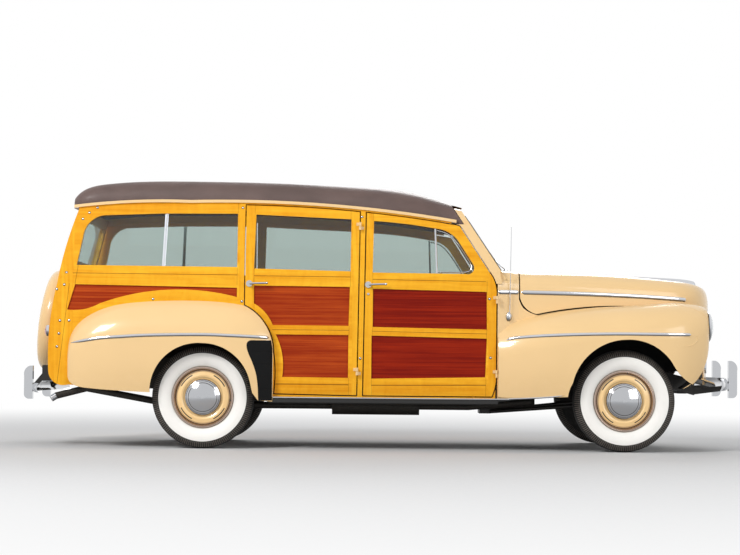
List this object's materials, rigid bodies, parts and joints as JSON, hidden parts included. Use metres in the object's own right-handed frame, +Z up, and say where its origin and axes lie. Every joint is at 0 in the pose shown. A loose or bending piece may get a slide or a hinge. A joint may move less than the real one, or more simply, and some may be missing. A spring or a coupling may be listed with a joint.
{
  "type": "wooden-bodied station wagon",
  "caption": "Four-door station wagon with a framed wooden body, dark roof, long metal hood, rounded fenders and a covered spare on the tailgate",
  "frame": {"origin": "middle of the overall box at ground level, under the tyres", "axes": "+X forward along the car's length, +Y to its left, +Z up"},
  "size_m": [5.0332, 1.8648, 1.876],
  "materials": {
    "paint": "gloss cream enamel",
    "maple": "varnished light framing wood",
    "roof_cover": "dark brown grained roof covering",
    "chrome": "polished",
    "black_metal": "black chassis paint",
    "iron": "grey-green engine paint",
    "tyre": "rubber with white side walls",
    "glass": "clear flat glass",
    "upholstery": "brown pleated seats",
    "mat": "ribbed floor mat",
    "dash": "woodgrain painted metal",
    "wheel_paint": "cream enamel with thin dark rings",
    "ivory": "ivory steering wheel"
  },
  "bodies": {
    "body": {"chassis_frame": "black_metal", "front_axle": "black_metal", "rear_axle": "black_metal", "exhaust": "iron", "fuel_tank": "black_metal", "engine_block": "iron", "floor_pan": "mat", "cowl": "paint", "fixed_glass": "glass", "dashboard": "dash", "roof": "roof_cover", "body_sides": "maple", "front_fenders": "paint", "rear_fenders": "paint", "nose_panel": "paint", "grille": "chrome", "lamps": "chrome", "running_boards": "black_metal", "front_bumper": "chrome", "rear_bumper": "chrome", "front_seat": "upholstery", "middle_seat": "upholstery", "rear_seat": "upholstery"},
    "hood": {"hood": "paint"},
    "liftgate": {"liftgate": "maple", "liftgate_glass": "glass"},
    "tailgate": {"tailgate": "maple", "spare_wheel": "paint"},
    "steering_wheel": {"steering_wheel": "ivory"},
    "front_door_right": {"front_door_right": "maple", "front_door_glass_right": "glass"},
    "wheel_front_right": {"tyre_front_right": "tyre", "wheel_front_right": "wheel_paint"},
    "front_door_left": {"front_door_left": "maple", "front_door_glass_left": "glass"},
    "wheel_front_left": {"tyre_front_left": "tyre", "wheel_front_left": "wheel_paint"},
    "rear_door_right": {"rear_door_right": "maple", "rear_door_glass_right": "glass"},
    "wheel_rear_right": {"tyre_rear_right": "tyre", "wheel_rear_right": "wheel_paint"},
    "rear_door_left": {"rear_door_left": "maple", "rear_door_glass_left": "glass"},
    "wheel_rear_left": {"tyre_rear_left": "tyre", "wheel_rear_left": "wheel_paint"},
    "knuckle_right": {"knuckle_right": "black_metal"},
    "knuckle_left": {"knuckle_left": "black_metal"}
  },
  "joints": [
    {"name": "rear_door_right_hinge", "type": "hinge", "parent": "body", "child": "rear_door_right", "pos_m": [-0.171, -0.817, 0.538], "axis": [0.013, 0.0352, 0.9993], "range_deg": [0, 70]},
    {"name": "rear_door_left_hinge", "type": "hinge", "parent": "body", "child": "rear_door_left", "pos_m": [-0.171, 0.817, 0.538], "axis": [-0.013, 0.0352, -0.9993], "range_deg": [0, 70]},
    {"name": "front_door_right_hinge", "type": "hinge", "parent": "body", "child": "front_door_right", "pos_m": [0.788, -0.817, 0.531], "axis": [0, 0, 1], "range_deg": [0, 70]},
    {"name": "front_door_left_hinge", "type": "hinge", "parent": "body", "child": "front_door_left", "pos_m": [0.788, 0.817, 0.531], "axis": [0, 0, -1], "range_deg": [0, 70]},
    {"name": "hood_hinge", "type": "hinge", "parent": "body", "child": "hood", "pos_m": [0.949, 0, 1.256], "axis": [0, -1, 0], "range_deg": [0, 50]},
    {"name": "liftgate_hinge", "type": "hinge", "parent": "body", "child": "liftgate", "pos_m": [-2.115, 0, 1.636], "axis": [0, 1, 0], "range_deg": [0, 80]},
    {"name": "tailgate_hinge", "type": "hinge", "parent": "body", "child": "tailgate", "pos_m": [-2.289, 0, 0.66], "axis": [0, -1, 0], "range_deg": [0, 97]},
    {"name": "steer_left", "type": "hinge", "parent": "body", "child": "knuckle_left", "pos_m": [1.667, 0.655, 0.352], "axis": [0, 0, 1], "range_deg": [-30, 30]},
    {"name": "steer_right", "type": "hinge", "parent": "body", "child": "knuckle_right", "pos_m": [1.667, -0.655, 0.352], "axis": [0, 0, 1], "range_deg": [-30, 30]},
    {"name": "steering_wheel_turn", "type": "hinge", "parent": "body", "child": "steering_wheel", "pos_m": [0.331, 0.39, 1.08], "axis": [-0.8601, 0, 0.5101], "range_deg": [-540, 540]},
    {"name": "spin_front_right", "type": "hinge", "parent": "knuckle_right", "child": "wheel_front_right", "pos_m": [1.667, -0.736, 0.352], "axis": [0, 1, 0], "continuous": true},
    {"name": "spin_rear_right", "type": "hinge", "parent": "body", "child": "wheel_rear_right", "pos_m": [-1.229, -0.736, 0.352], "axis": [0, 1, 0], "continuous": true},
    {"name": "spin_front_left", "type": "hinge", "parent": "knuckle_left", "child": "wheel_front_left", "pos_m": [1.667, 0.736, 0.352], "axis": [0, 1, 0], "continuous": true},
    {"name": "spin_rear_left", "type": "hinge", "parent": "body", "child": "wheel_rear_left", "pos_m": [-1.229, 0.736, 0.352], "axis": [0, 1, 0], "continuous": true}
  ],
  "couplings": [
    {"joint": "steer_right", "follows": "steer_left", "ratio": 1},
    {"joint": "steering_wheel_turn", "follows": "steer_left", "ratio": 18}
  ]
}
